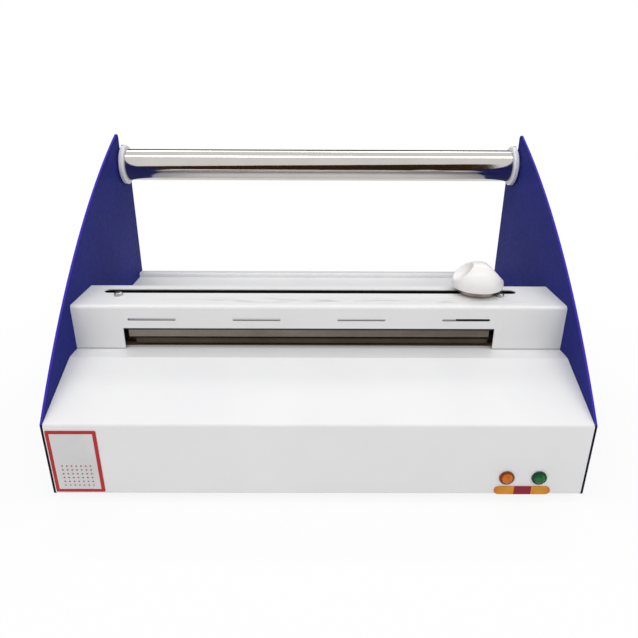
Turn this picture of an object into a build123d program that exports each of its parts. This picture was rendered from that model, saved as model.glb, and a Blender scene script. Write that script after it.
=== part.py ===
from build123d import *
import math
import os

# Tabletop sealer for medical pouches. Millimetres, X to the right, Y to the back, Z up.
# Sizes are laid out from the front panel's face (Y) and its lower edge (Z), and every piece
# is moved at the end so that the origin is under the middle of the machine, on the surface.

# Overall sizes
INNER_WIDTH = 456.0
PLATE_THICKNESS = 2.0
SHEET = 1.5
BEND_RADIUS = 1.5
DEPTH = 310.0
FOOT_HEIGHT = 8.0

# Front cover
PANEL_HEIGHT = 70.5
DECK_LEVEL = 98.2
SLOPE_END_Y = 69.3
FLANGE_WIDTH = 13.0

# Head over the sealing bars
HEAD_FRONT_Y = 87.5
HEAD_REAR_Y = 145.3
HEAD_TOP = 141.6
HEAD_GAP = 0.8
HEAD_CENTRE_X = -9.3
FEED_WIDTH = 345.5
FEED_HEIGHT = 18.8
FEED_LIP_DEPTH = 5.0
RELIEF_WIDTH = 2.2
RELIEF_HEIGHT = 2.3
FILM_INLET_HEIGHT = 11.0
VENT_LENGTH = 44.5
VENT_HEIGHT = 2.4
VENT_PITCH = 97.0
VENT_COUNT = 4
VENT_DROP = 13.6
SLOT_LENGTH = 401.8
SLOT_SHIFT = 0.9
SLOT_WIDTH = 11.0
SLOT_Y = 127.0
BRIDGE_SETBACK = 3.2
HEAD_SCREW_Y = 115.3
HEAD_SCREW_SPAN = 365.6
HEAD_SCREW_RADIUS = 4.1
HEAD_SCREW_HEIGHT = 3.0
HEAD_SCREW_SHANK = 2.0

# Sealing bars, cutting strip and the beam under them
BAR_FRONT_Y = 95.7
BAR_DEPTH = 18.3
BAR_LENGTH = 392.0
BAR_HEIGHT = 17.0
BAR_FACE_LENGTH = 334.5
BAR_END_SETBACK = 8.0
JAW_GAP = 1.4
NOSE_HEIGHT = 7.0
NOSE_RADIUS = 1.5
NOSE_GROOVE = 1.5
SHOULDER_STEP = 1.2
FIN_COUNT = 3
FIN_THICKNESS = 2.0
FIN_DEPTH = 5.0
GUARD_THICKNESS = 1.2
GUARD_DROP = 9.5
GUARD_RETURN = 9.0
GUARD_END_GAP = 2.85
HEATER_HEIGHT = 8.0
TAPE_THICKNESS = 1.0
HANGER_WIDTH = 16.0
HANGER_THICKNESS = 3.0
HANGER_TAB_THICKNESS = 2.0
HANGER_TAB_REACH = 10.5
CUT_STRIP_WIDTH = 18.0
CUT_GROOVE_WIDTH = 4.0
CUT_GROOVE_DEPTH = 4.0
BEAM_THICKNESS = 2.0
BEAM_LEG = 30.0
BEAM_MARGIN = 3.0
DECK_JOINT = 0.5

# Cutter slider
KNOB_RADIUS = 24.5
KNOB_CLEARANCE = 6.0
KNOB_SKIRT = 3.5
KNOB_EDGE = 1.5
KNOB_HEIGHT = 24.0
KNOB_SHOULDER_RADIUS = 18.0
KNOB_WAIST = 12.4
KNOB_SCOOP_RADIUS = 20.0
KNOB_SCOOP_FLOOR = 7.0
KNOB_SCOOP_EDGE = 1.6
KNOB_WALL = 2.5
DISC_RADIUS = 18.4
DISC_CLEARANCE = 0.5
STOP_CLEARANCE = 0.2
NECK_WIDTH = 5.0
NECK_LENGTH = 14.0
CARRIAGE_LENGTH = 36.0
CARRIAGE_WIDTH = 13.0
CARRIAGE_TOP_GAP = 8.0
CARRIAGE_HEIGHT = 19.0
RAIL_RADIUS = 4.0
RAIL_DROP = 10.1
RUNNING_CLEARANCE = 0.05
BLADE_THICKNESS = 0.8
BLADE_LENGTH = 22.0
BLADE_DEPTH = 1.2
BLADE_SEAT = 4.0

# Rear cover
LIP_HEIGHT = 5.0
LIP_DEPTH = 12.5
REAR_INSET = 0.5

# Side plates and the roll bar that they carry
LOBE_RADIUS = 24.0
ROLL_AXIS_Z = 239.7
PLATE_ARC_RADIUS = 800.0
HORN_WIDTH = 10.9
HORN_RISE = 32.3
TIP_RADIUS = 4.5
PLATE_CORNER = 2.5
STUB_RADIUS = 5.0
STUB_CLEARANCE = 0.1
SLOT_LEAD = 5.0
TUBE_RADIUS = 17.5
TUBE_WALL = 1.5
PLUG_FLANGE_RADIUS = 21.75
PLUG_FLANGE_THICKNESS = 5.5
PLUG_END_GAP = 1.0
PLUG_SPIGOT_LENGTH = 25.0
PLUG_EDGE = 1.2

# Lamps, strip and plate on the front panel
LAMP_LEVEL = 18.5
LAMP_INSET = 38.7
LAMP_PITCH = 27.8
BEZEL_RADIUS = 6.45
BEZEL_HEIGHT = 2.0
LENS_RADIUS = 4.9
LENS_HEIGHT = 3.4
LAMP_BODY_RADIUS = 5.0
LAMP_BODY_DEPTH = 16.0
STRIP_LENGTH = 48.5
STRIP_HEIGHT = 8.0
STRIP_THICKNESS = 1.0
STRIP_INSET = 51.8
STRIP_LEVEL = 5.3
NAME_PLATE_WIDTH = 42.0
NAME_PLATE_HEIGHT = 65.0
NAME_PLATE_THICKNESS = 0.5
NAME_PLATE_MARGIN = 1.0

# Feet and the fittings on the back
FOOT_RADIUS = 10.0
FOOT_TAPER = 1.5
FOOT_INSET_X = 35.0
FOOT_INSET_Y = 38.0
INLET_INSET = 63.0
INLET_LEVEL = 34.0
INLET_FLANGE_WIDTH = 50.0
INLET_FLANGE_HEIGHT = 23.0
INLET_FLANGE_THICKNESS = 2.5
INLET_WIDTH = 27.5
INLET_HEIGHT = 20.0
INLET_SOCKET_WIDTH = 24.0
INLET_SOCKET_HEIGHT = 16.5
INLET_SOCKET_DEPTH = 16.0
INLET_DEPTH = 20.0
PIN_WIDTH = 2.0
PIN_HEIGHT = 4.0
PIN_SPACING = 7.0
PIN_RECESS = 5.0
PIN_STAGGER = 2.0
SWITCH_PITCH = 50.0
SWITCH_WIDTH = 21.0
SWITCH_HEIGHT = 15.0
SWITCH_RIM = 2.0
SWITCH_DEPTH = 18.0
ROCKER_RISE = 2.6
FUSE_PITCH = 35.0
FUSE_CAP_RADIUS = 7.0
FUSE_CAP_HEIGHT = 6.0
FUSE_BODY_RADIUS = 6.0
FUSE_BODY_DEPTH = 24.0

# Slots in the back panel and the base that let heat out
BACK_VENT_COUNT = 9
BACK_VENT_WIDTH = 3.0
BACK_VENT_LENGTH = 30.0
BACK_VENT_PITCH = 9.0
BACK_VENT_INSET = 78.0
BACK_VENT_LEVEL = 40.0
BASE_VENT_COUNT = 7
BASE_VENT_PITCH = 14.0
BASE_VENT_LENGTH = 60.0
BASE_VENT_WIDTH = 4.0

# Places that several pieces share
HALF_WIDTH = INNER_WIDTH / 2
DECK_UNDERSIDE = DECK_LEVEL - SHEET
BEAM_TOP = DECK_LEVEL - TAPE_THICKNESS - HEATER_HEIGHT
CUT_STRIP_FRONT = SLOT_Y - CUT_STRIP_WIDTH / 2
CUT_STRIP_REAR = SLOT_Y + CUT_STRIP_WIDTH / 2
REAR_FACE = DEPTH - REAR_INSET
SLOT_RADIUS = STUB_RADIUS + STUB_CLEARANCE
ROLL_AXIS_Y = DEPTH - LOBE_RADIUS
FEED_LEFT = HEAD_CENTRE_X - FEED_WIDTH / 2
FEED_RIGHT = HEAD_CENTRE_X + FEED_WIDTH / 2
FEED_TOP = DECK_LEVEL + FEED_HEIGHT
BAR_BOTTOM = DECK_LEVEL + JAW_GAP
BAR_TOP = BAR_BOTTOM + BAR_HEIGHT
HEAD_INNER_TOP = HEAD_TOP - SHEET
VENT_LEVEL = HEAD_TOP - VENT_DROP
SLOT_X = HEAD_CENTRE_X + SLOT_SHIFT
CARRIAGE_TOP = HEAD_INNER_TOP - CARRIAGE_TOP_GAP
CARRIAGE_BOTTOM = CARRIAGE_TOP - CARRIAGE_HEIGHT
RAIL_LEVEL = CARRIAGE_TOP - RAIL_DROP
KNOB_BOTTOM = HEAD_TOP + KNOB_CLEARANCE
BASE_LEVEL = SHEET
LAMP_GREEN_X = HALF_WIDTH - LAMP_INSET
LAMP_AMBER_X = LAMP_GREEN_X - LAMP_PITCH
STRIP_X = HALF_WIDTH - STRIP_INSET
INLET_X = HALF_WIDTH - INLET_INSET
SWITCH_X = INLET_X - SWITCH_PITCH
FUSE_X = SWITCH_X - FUSE_PITCH
BACK_VENT_X = BACK_VENT_INSET - HALF_WIDTH

# The slider parks with its disc against the right-hand screw head
STOP_REACH = math.sqrt(
    (DISC_RADIUS + HEAD_SCREW_RADIUS + STOP_CLEARANCE) ** 2 - (SLOT_Y - HEAD_SCREW_Y) ** 2
)
SLIDER_X = HEAD_CENTRE_X + HEAD_SCREW_SPAN / 2 - STOP_REACH


def flat_face(points):
    """Closed face in the Y-Z plane from (y, z) points."""
    return make_face(Polyline(*points, close=True))


def across(face, left, right):
    """Sweep a Y-Z outline along X, from left to right."""
    return extrude(Plane.YZ.offset(left) * face, amount=right - left)


def block(x, y, z):
    """Box from three (low, high) pairs."""
    size = Box(x[1] - x[0], y[1] - y[0], z[1] - z[0])
    return Pos((x[0] + x[1]) / 2, (y[0] + y[1]) / 2, (z[0] + z[1]) / 2) * size


def rounded_run(points, radii):
    """Lines through the points, with an arc of the given radius at each inner point."""
    run = []
    start = Vector(*points[0])
    for index in range(1, len(points) - 1):
        corner = Vector(*points[index])
        back = (Vector(*points[index - 1]) - corner).normalized()
        ahead = (Vector(*points[index + 1]) - corner).normalized()
        half_angle = math.radians(back.get_angle(ahead)) / 2
        radius = radii[index - 1]
        reach = radius / math.tan(half_angle)
        middle = (back + ahead).normalized()
        nearest = radius / math.sin(half_angle) - radius
        run.append(Line(start, corner + back * reach))
        run.append(ThreePointArc(corner + back * reach, corner + middle * nearest,
                                 corner + ahead * reach))
        start = corner + ahead * reach
    run.append(Line(start, Vector(*points[-1])))
    return run


def folded_section(points, thickness, side):
    """Section of a folded sheet: points run along one face, and the sheet lies to one side of
    it (+1 left of the way it runs, -1 right)."""
    path = [Vector(*point) for point in points]
    ways = [(path[i + 1] - path[i]).normalized() for i in range(len(path) - 1)]
    normals = [Vector(-way.Y, way.X) * side for way in ways]
    other = [path[0] + normals[0] * thickness]
    near_radii = []
    far_radii = []
    for index in range(1, len(path) - 1):
        bisector = (normals[index - 1] + normals[index]).normalized()
        stretch = thickness / bisector.dot(normals[index])
        other.append(path[index] + bisector * stretch)
        turn = ways[index - 1].cross(ways[index]).Z * side
        near_radii.append(BEND_RADIUS + thickness if turn > 0 else BEND_RADIUS)
        far_radii.append(BEND_RADIUS if turn > 0 else BEND_RADIUS + thickness)
    other.append(path[-1] + normals[-1] * thickness)
    near = rounded_run([(p.X, p.Y) for p in path], near_radii)
    far = rounded_run([(p.X, p.Y) for p in other], far_radii)
    ends = [Line(path[0], other[0]), Line(path[-1], other[-1])]
    return make_face(near + far + ends)


def folded_sheet(points, left, right, thickness=SHEET, side=-1):
    return across(folded_section(points, thickness, side), left, right)


def slot_through_z(x, y, length, width, low, high):
    outline = Pos(x, y) * SlotOverall(length, width)
    return extrude(Plane.XY.offset(low) * outline, amount=high - low)


def slot_through_y(x, z, length, width, near, far, upright=False):
    outline = SlotOverall(length, width, rotation=90 if upright else 0)
    return extrude(Plane.XZ.offset(-near) * (Pos(x, z) * outline), amount=near - far)


def rod_along_x(left, right, y, z, radius):
    return across(Pos(y, z) * Circle(radius), left, right)


def rod_along_y(near, far, x, z, radius):
    return extrude(Plane.XZ.offset(-near) * (Pos(x, z) * Circle(radius)), amount=near - far)


def rod_along_z(low, high, x, y, radius):
    return extrude(Plane.XY.offset(low) * (Pos(x, y) * Circle(radius)), amount=high - low)


def nearest_corner(face, y, z):
    return face.vertices().sort_by_distance(Vector(y, z, 0))[0]


def side_plate(left):
    """Plate with a long arched front edge, a horn at the top, and a round rear end with the
    open slot that the roll bar drops into."""
    horn_y = ROLL_AXIS_Y - SLOT_RADIUS
    arc_end = Vector(horn_y - HORN_WIDTH, ROLL_AXIS_Z + HORN_RISE)
    arc_start = Vector(0, PANEL_HEIGHT)
    chord = arc_end - arc_start
    sagitta = PLATE_ARC_RADIUS - math.sqrt(PLATE_ARC_RADIUS**2 - (chord.length / 2) ** 2)
    outward = Vector(-chord.Y, chord.X).normalized()
    arc_middle = arc_start + chord * 0.5 + outward * sagitta
    end_angle = math.atan2(chord.Y, chord.X) - math.asin(chord.length / 2 / PLATE_ARC_RADIUS)
    horn_z = arc_end.Y + HORN_WIDTH * math.tan(end_angle)
    outline = [
        Line((0, 0), arc_start),
        ThreePointArc(arc_start, arc_middle, arc_end),
        Polyline(arc_end, (horn_y, horn_z), (horn_y, ROLL_AXIS_Z), (DEPTH, ROLL_AXIS_Z),
                 (DEPTH, 0), (0, 0)),
    ]
    face = make_face(outline)
    face += Pos(ROLL_AXIS_Y, ROLL_AXIS_Z) * Circle(LOBE_RADIUS)
    face -= Pos(ROLL_AXIS_Y, ROLL_AXIS_Z) * Circle(SLOT_RADIUS)
    face -= Pos(ROLL_AXIS_Y, ROLL_AXIS_Z + LOBE_RADIUS) * Rectangle(2 * SLOT_RADIUS, 2 * LOBE_RADIUS)
    face = face.faces()[0]
    slot_edge_y = ROLL_AXIS_Y + SLOT_RADIUS
    slot_edge_z = ROLL_AXIS_Z + math.sqrt(LOBE_RADIUS**2 - SLOT_RADIUS**2)
    face = fillet(nearest_corner(face, horn_y, horn_z), TIP_RADIUS)
    face = fillet(nearest_corner(face, slot_edge_y, slot_edge_z), SLOT_LEAD)
    for corner_y in (0, DEPTH):
        face = fillet(nearest_corner(face, corner_y, 0), PLATE_CORNER)
    return across(face, left, left + PLATE_THICKNESS)


def front_cover():
    """Front panel, sloping deck and flat ledge, folded from one sheet."""
    path = [
        (FLANGE_WIDTH, 0),
        (0, 0),
        (0, PANEL_HEIGHT),
        (SLOPE_END_Y, DECK_LEVEL),
        (BAR_FRONT_Y - DECK_JOINT, DECK_LEVEL),
    ]
    cover = folded_sheet(path, -HALF_WIDTH, HALF_WIDTH)
    for x in (LAMP_AMBER_X, LAMP_GREEN_X):
        cover -= rod_along_y(-SHEET, 2 * SHEET, x, LAMP_LEVEL, LAMP_BODY_RADIUS)
    return cover


def head_sheet():
    """Folded channel over the sealing bars: feed opening and vents in front, the cutter's long
    slot on top, and a rear wall that ends above the shelf, where the film goes in."""
    path = [
        (HEAD_FRONT_Y, DECK_LEVEL + HEAD_GAP),
        (HEAD_FRONT_Y, HEAD_TOP),
        (HEAD_REAR_Y, HEAD_TOP),
        (HEAD_REAR_Y, DECK_LEVEL + FILM_INLET_HEIGHT),
    ]
    head = folded_sheet(path, -HALF_WIDTH, HALF_WIDTH)
    through_front = (HEAD_FRONT_Y - SHEET, HEAD_FRONT_Y + 2 * SHEET)
    head -= block((FEED_LEFT, FEED_RIGHT), through_front, (DECK_LEVEL - SHEET, FEED_TOP))
    for x in (FEED_LEFT + RELIEF_WIDTH / 2, FEED_RIGHT - RELIEF_WIDTH / 2):
        relief = (x - RELIEF_WIDTH / 2, x + RELIEF_WIDTH / 2)
        head -= block(relief, through_front, (FEED_TOP - SHEET, FEED_TOP + RELIEF_HEIGHT))
    lip_path = [
        (HEAD_FRONT_Y, FEED_TOP + RELIEF_HEIGHT),
        (HEAD_FRONT_Y, FEED_TOP),
        (HEAD_FRONT_Y + FEED_LIP_DEPTH, FEED_TOP),
    ]
    head += folded_sheet(lip_path, FEED_LEFT + RELIEF_WIDTH, FEED_RIGHT - RELIEF_WIDTH, side=1)
    for index in range(VENT_COUNT):
        x = HEAD_CENTRE_X + (index - (VENT_COUNT - 1) / 2) * VENT_PITCH
        head -= slot_through_y(x, VENT_LEVEL, VENT_LENGTH, VENT_HEIGHT, *through_front)
    through_top = (HEAD_TOP - 2 * SHEET, HEAD_TOP + SHEET)
    head -= slot_through_z(SLOT_X, SLOT_Y, SLOT_LENGTH, SLOT_WIDTH, *through_top)
    for side in (-1, 1):
        x = HEAD_CENTRE_X + side * HEAD_SCREW_SPAN / 2
        head -= rod_along_z(*through_top, x, HEAD_SCREW_Y, HEAD_SCREW_SHANK)
    return head


def head_pieces():
    """The head in four pieces that meet round the slot: front, rear, and a bridge past each end
    of the slot."""
    sheet = head_sheet()
    beside_slot = (SLOT_Y - SLOT_WIDTH / 2, SLOT_Y + SLOT_WIDTH / 2)
    level = (HEAD_INNER_TOP, HEAD_TOP)
    reach = SLOT_LENGTH / 2 - BRIDGE_SETBACK
    bridge_left = sheet & block((-HALF_WIDTH, SLOT_X - reach), beside_slot, level)
    bridge_right = sheet & block((SLOT_X + reach, HALF_WIDTH), beside_slot, level)
    rest = sheet - bridge_left - bridge_right
    width = (-HALF_WIDTH, HALF_WIDTH)
    height = (DECK_UNDERSIDE, HEAD_TOP + SHEET)
    return {
        "head_cover": rest & block(width, (HEAD_FRONT_Y - SHEET, SLOT_Y), height),
        "head_rear": rest & block(width, (SLOT_Y, HEAD_REAR_Y + SHEET), height),
        "head_bridge_left": bridge_left,
        "head_bridge_right": bridge_right,
    }


def rear_shelf():
    """Flat sheet behind the head, level with the deck."""
    near = CUT_STRIP_REAR + DECK_JOINT
    return block((-HALF_WIDTH, HALF_WIDTH), (near, REAR_FACE - SHEET), (DECK_UNDERSIDE, DECK_LEVEL))


def back_panel():
    """Back sheet with the raised lip that stands on the shelf, and a flange under it."""
    path = [
        (REAR_FACE - LIP_DEPTH, DECK_LEVEL),
        (REAR_FACE - LIP_DEPTH, DECK_LEVEL + LIP_HEIGHT),
        (REAR_FACE, DECK_LEVEL + LIP_HEIGHT),
        (REAR_FACE, 0),
        (REAR_FACE - FLANGE_WIDTH, 0),
    ]
    panel = folded_sheet(path, -HALF_WIDTH, HALF_WIDTH)
    through = (REAR_FACE - 2 * SHEET, REAR_FACE + SHEET)
    for index in range(BACK_VENT_COUNT):
        x = BACK_VENT_X + (index - (BACK_VENT_COUNT - 1) / 2) * BACK_VENT_PITCH
        panel -= slot_through_y(x, BACK_VENT_LEVEL, BACK_VENT_LENGTH, BACK_VENT_WIDTH, *through, upright=True)
    inlet_x = (INLET_X - INLET_WIDTH / 2, INLET_X + INLET_WIDTH / 2)
    panel -= block(inlet_x, through, (INLET_LEVEL - INLET_HEIGHT / 2, INLET_LEVEL + INLET_HEIGHT / 2))
    switch_x = (SWITCH_X - SWITCH_WIDTH / 2, SWITCH_X + SWITCH_WIDTH / 2)
    panel -= block(switch_x, through, (INLET_LEVEL - SWITCH_HEIGHT / 2, INLET_LEVEL + SWITCH_HEIGHT / 2))
    panel -= rod_along_y(*through, FUSE_X, INLET_LEVEL, FUSE_BODY_RADIUS)
    return panel


def base_plate():
    """Bottom sheet on the flanges of the front cover and the back panel."""
    inset = SHEET + BEND_RADIUS
    base = block((-HALF_WIDTH, HALF_WIDTH), (inset, REAR_FACE - inset), (BASE_LEVEL, BASE_LEVEL + SHEET))
    edges = base.edges().filter_by(Axis.Z)
    base = fillet(edges, BEND_RADIUS)
    middle_y = DEPTH / 2
    for index in range(BASE_VENT_COUNT):
        x = (index - (BASE_VENT_COUNT - 1) / 2) * BASE_VENT_PITCH
        outline = Pos(x, middle_y) * SlotOverall(BASE_VENT_LENGTH, BASE_VENT_WIDTH, rotation=90)
        base -= extrude(Plane.XY * outline, amount=BASE_LEVEL + 2 * SHEET)
    return base


def foot(x, y):
    """Tapered rubber foot on the underside of the base plate."""
    low = -FOOT_HEIGHT
    profile = Polyline(
        (0, low), (FOOT_RADIUS - FOOT_TAPER, low), (FOOT_RADIUS, BASE_LEVEL), (0, BASE_LEVEL), close=True
    )
    return Pos(x, y) * revolve(Plane.XZ * make_face(profile), Axis.Z)


def bed_beam():
    """Inverted channel from plate to plate that carries the heater and the cutting strip."""
    near = BAR_FRONT_Y - BEAM_MARGIN
    far = CUT_STRIP_REAR + BEAM_MARGIN
    path = [(near, BEAM_TOP - BEAM_LEG), (near, BEAM_TOP), (far, BEAM_TOP), (far, BEAM_TOP - BEAM_LEG)]
    return folded_sheet(path, -HALF_WIDTH, HALF_WIDTH, thickness=BEAM_THICKNESS)


def bar_span():
    return (HEAD_CENTRE_X - BAR_LENGTH / 2, HEAD_CENTRE_X + BAR_LENGTH / 2)


def heater_bar():
    return block(bar_span(), (BAR_FRONT_Y, BAR_FRONT_Y + BAR_DEPTH), (BEAM_TOP, BEAM_TOP + HEATER_HEIGHT))


def heater_tape():
    low = BEAM_TOP + HEATER_HEIGHT
    return block(bar_span(), (BAR_FRONT_Y, BAR_FRONT_Y + BAR_DEPTH), (low, low + TAPE_THICKNESS))


def cutting_strip():
    """Strip on the beam with a groove under the blade."""
    strip = block(bar_span(), (CUT_STRIP_FRONT, CUT_STRIP_REAR), (BEAM_TOP, DECK_LEVEL))
    groove_y = (SLOT_Y - CUT_GROOVE_WIDTH / 2, SLOT_Y + CUT_GROOVE_WIDTH / 2)
    groove_z = (DECK_LEVEL - CUT_GROOVE_DEPTH, DECK_LEVEL + CUT_GROOVE_DEPTH)
    return strip - block((-HALF_WIDTH, HALF_WIDTH), groove_y, groove_z)


def upper_seal_bar():
    """Pressing bar: a rounded nose in front, a groove over it, a shoulder that the guard lies
    against, and cooling fins cut into its back."""
    far = BAR_FRONT_Y + BAR_DEPTH
    nose_top = BAR_BOTTOM + NOSE_HEIGHT
    groove_top = nose_top + NOSE_GROOVE
    shoulder = BAR_FRONT_Y - SHOULDER_STEP
    section = [
        (far, BAR_BOTTOM),
        (BAR_FRONT_Y, BAR_BOTTOM),
        (BAR_FRONT_Y, nose_top),
        (BAR_FRONT_Y + NOSE_GROOVE, nose_top),
        (BAR_FRONT_Y + NOSE_GROOVE, groove_top),
        (shoulder, groove_top),
        (shoulder, BAR_TOP),
        (far, BAR_TOP),
    ]
    face = flat_face(section)
    for z in (BAR_BOTTOM, nose_top):
        face = fillet(nearest_corner(face, BAR_FRONT_Y, z), NOSE_RADIUS)
    face = fillet(nearest_corner(face, shoulder, BAR_TOP), BEND_RADIUS)
    left, right = bar_span()
    bar = across(face, left, right)
    pitch = (BAR_HEIGHT - FIN_THICKNESS) / FIN_COUNT
    for index in range(FIN_COUNT):
        low = BAR_BOTTOM + FIN_THICKNESS + index * pitch
        bar -= block((left, right), (far - FIN_DEPTH, far), (low, low + pitch - FIN_THICKNESS))
    face_left = FEED_RIGHT - GUARD_END_GAP - BAR_FACE_LENGTH
    for span in ((left, face_left), (FEED_RIGHT - GUARD_END_GAP, right)):
        bar -= block(span, (shoulder, shoulder + BAR_END_SETBACK), (BAR_BOTTOM, BAR_TOP))
    return bar


def film_guard():
    """Polished angle strip over the bar's shoulder, just behind the feed opening."""
    near = BAR_FRONT_Y - SHOULDER_STEP - GUARD_THICKNESS
    top = BAR_TOP + GUARD_THICKNESS
    path = [(near, top - GUARD_DROP), (near, top), (near + GUARD_RETURN, top)]
    return folded_sheet(path, FEED_LEFT + GUARD_END_GAP, FEED_RIGHT - GUARD_END_GAP,
                        thickness=GUARD_THICKNESS)


def seal_bar_hanger(side):
    """Bent strap from the bar's top to the underside of the head."""
    x = HEAD_CENTRE_X + side * HEAD_SCREW_SPAN / 2
    back = HEAD_SCREW_Y + HANGER_TAB_REACH - 2 * HANGER_THICKNESS
    front = back - HANGER_TAB_REACH
    section = [
        (front, BAR_TOP),
        (front, HEAD_INNER_TOP),
        (back, HEAD_INNER_TOP),
        (back, HEAD_INNER_TOP - HANGER_TAB_THICKNESS),
        (front + HANGER_THICKNESS, HEAD_INNER_TOP - HANGER_TAB_THICKNESS),
        (front + HANGER_THICKNESS, BAR_TOP),
    ]
    strap = across(flat_face(section), x - HANGER_WIDTH / 2, x + HANGER_WIDTH / 2)
    return strap - rod_along_z(BAR_TOP, HEAD_TOP, x, HEAD_SCREW_Y, HEAD_SCREW_SHANK)


def head_screw(side):
    """Round-headed screw that holds a hanger through the head's top."""
    x = HEAD_CENTRE_X + side * HEAD_SCREW_SPAN / 2
    head = rod_along_z(HEAD_TOP, HEAD_TOP + HEAD_SCREW_HEIGHT, x, HEAD_SCREW_Y, HEAD_SCREW_RADIUS)
    head = fillet(head.edges().sort_by(Axis.Z)[-1], HEAD_SCREW_HEIGHT / 2)
    low = HEAD_INNER_TOP - HANGER_TAB_THICKNESS
    return head + rod_along_z(low, HEAD_TOP, x, HEAD_SCREW_Y, HEAD_SCREW_SHANK)


def guide_rail():
    """Round rod from plate to plate that the cutter slides on."""
    return rod_along_x(-HALF_WIDTH, HALF_WIDTH, SLOT_Y, RAIL_LEVEL, RAIL_RADIUS)


def blade_outline():
    """Pointed blade that cuts both ways, in the X-Z plane about the slider's middle."""
    low = DECK_LEVEL - BLADE_DEPTH
    high = CARRIAGE_BOTTOM + BLADE_SEAT
    half = BLADE_LENGTH / 2
    return make_face(Polyline((0, low), (half, CARRIAGE_BOTTOM - BLADE_SEAT), (half, high), (-half, high),
                              (-half, CARRIAGE_BOTTOM - BLADE_SEAT), close=True))


def cutter_blade():
    outline = Plane.XZ.offset(-SLOT_Y + BLADE_THICKNESS / 2) * (Pos(SLIDER_X, 0) * blade_outline())
    return extrude(outline, amount=BLADE_THICKNESS, dir=(0, 1, 0))


def slider_carriage():
    """Block on the guide rail, with the neck that passes up through the head's slot."""
    half = CARRIAGE_LENGTH / 2
    side = CARRIAGE_WIDTH / 2
    body = block((SLIDER_X - half, SLIDER_X + half), (SLOT_Y - side, SLOT_Y + side),
                 (CARRIAGE_BOTTOM, CARRIAGE_TOP))
    body = chamfer(body.edges().filter_by(Axis.Z), NECK_WIDTH / 4)
    neck = extrude(
        Plane.XY.offset(CARRIAGE_TOP) * (Pos(SLIDER_X, SLOT_Y) * SlotOverall(NECK_LENGTH, NECK_WIDTH)),
        amount=KNOB_BOTTOM + KNOB_SKIRT - CARRIAGE_TOP,
    )
    body += neck
    body -= rod_along_x(SLIDER_X - CARRIAGE_LENGTH, SLIDER_X + CARRIAGE_LENGTH, SLOT_Y, RAIL_LEVEL,
                        RAIL_RADIUS + RUNNING_CLEARANCE)
    return body - cutter_blade()


def slider_knob():
    """Domed round knob with a waisted grip ridge, left between two round finger scoops. The
    dome is a spherical cap that runs into a rounded shoulder. It is hollow under the rim, round
    a boss that holds the neck."""
    rim = KNOB_BOTTOM + KNOB_SKIRT
    inner = KNOB_RADIUS - KNOB_WALL
    boss = NECK_LENGTH / 2 + KNOB_WALL
    shoulder_x = KNOB_RADIUS - KNOB_SHOULDER_RADIUS
    rise = KNOB_HEIGHT - KNOB_SHOULDER_RADIUS
    cap_z = (rise + KNOB_SKIRT - shoulder_x**2 / (rise - KNOB_SKIRT)) / 2
    turn = math.degrees(math.atan2(KNOB_SKIRT - cap_z, shoulder_x))
    profile = [
        Polyline((boss, KNOB_BOTTOM), (boss, rim), (inner, rim), (inner, KNOB_BOTTOM),
                 (KNOB_RADIUS - KNOB_EDGE, KNOB_BOTTOM)),
        CenterArc((KNOB_RADIUS - KNOB_EDGE, KNOB_BOTTOM + KNOB_EDGE), KNOB_EDGE, 270, 90),
        Line((KNOB_RADIUS, KNOB_BOTTOM + KNOB_EDGE), (KNOB_RADIUS, rim)),
        CenterArc((shoulder_x, rim), KNOB_SHOULDER_RADIUS, 0, turn),
        CenterArc((0, KNOB_BOTTOM + cap_z), KNOB_HEIGHT - cap_z, turn, 90 - turn),
        Polyline((0, KNOB_BOTTOM + KNOB_HEIGHT), (0, KNOB_BOTTOM), (boss, KNOB_BOTTOM)),
    ]
    knob = revolve(Plane.XZ * make_face(profile), Axis.Z)
    knob -= extrude(Plane.XY.offset(KNOB_BOTTOM) * SlotOverall(NECK_LENGTH, NECK_WIDTH), amount=KNOB_SKIRT)
    scoop_z = KNOB_BOTTOM + KNOB_SCOOP_FLOOR + KNOB_SCOOP_RADIUS
    for turned, side in ((180, -1), (0, 1)):
        scoop = Rot(0, 0, turned) * Sphere(KNOB_SCOOP_RADIUS)
        knob -= Pos(side * (KNOB_WAIST / 2 + KNOB_SCOOP_RADIUS), 0, scoop_z) * scoop
    scooped = [
        edge for edge in knob.edges()
        if edge.center().Z > rim + KNOB_EDGE / 2 and abs(edge.center().X) > KNOB_EDGE
    ]
    knob = fillet(scooped, KNOB_SCOOP_EDGE)
    return Pos(SLIDER_X, SLOT_Y, 0) * knob


def slider_disc():
    """Metal disc under the knob, which runs just above the head and stops at the screw heads."""
    disc = rod_along_z(HEAD_TOP + DISC_CLEARANCE, KNOB_BOTTOM, 0, 0, DISC_RADIUS)
    disc = chamfer(disc.edges().filter_by(GeomType.CIRCLE), DISC_CLEARANCE)
    disc -= extrude(Plane.XY.offset(HEAD_TOP) * SlotOverall(NECK_LENGTH, NECK_WIDTH), amount=KNOB_CLEARANCE)
    return Pos(SLIDER_X, SLOT_Y, 0) * disc


def roll_tube():
    """Polished tube, open at both ends, that runs on the plugs' spigots."""
    reach = HALF_WIDTH - PLUG_END_GAP - PLUG_FLANGE_THICKNESS - RUNNING_CLEARANCE
    tube = rod_along_x(-reach, reach, ROLL_AXIS_Y, ROLL_AXIS_Z, TUBE_RADIUS)
    return tube - rod_along_x(-reach, reach, ROLL_AXIS_Y, ROLL_AXIS_Z, TUBE_RADIUS - TUBE_WALL)


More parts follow.
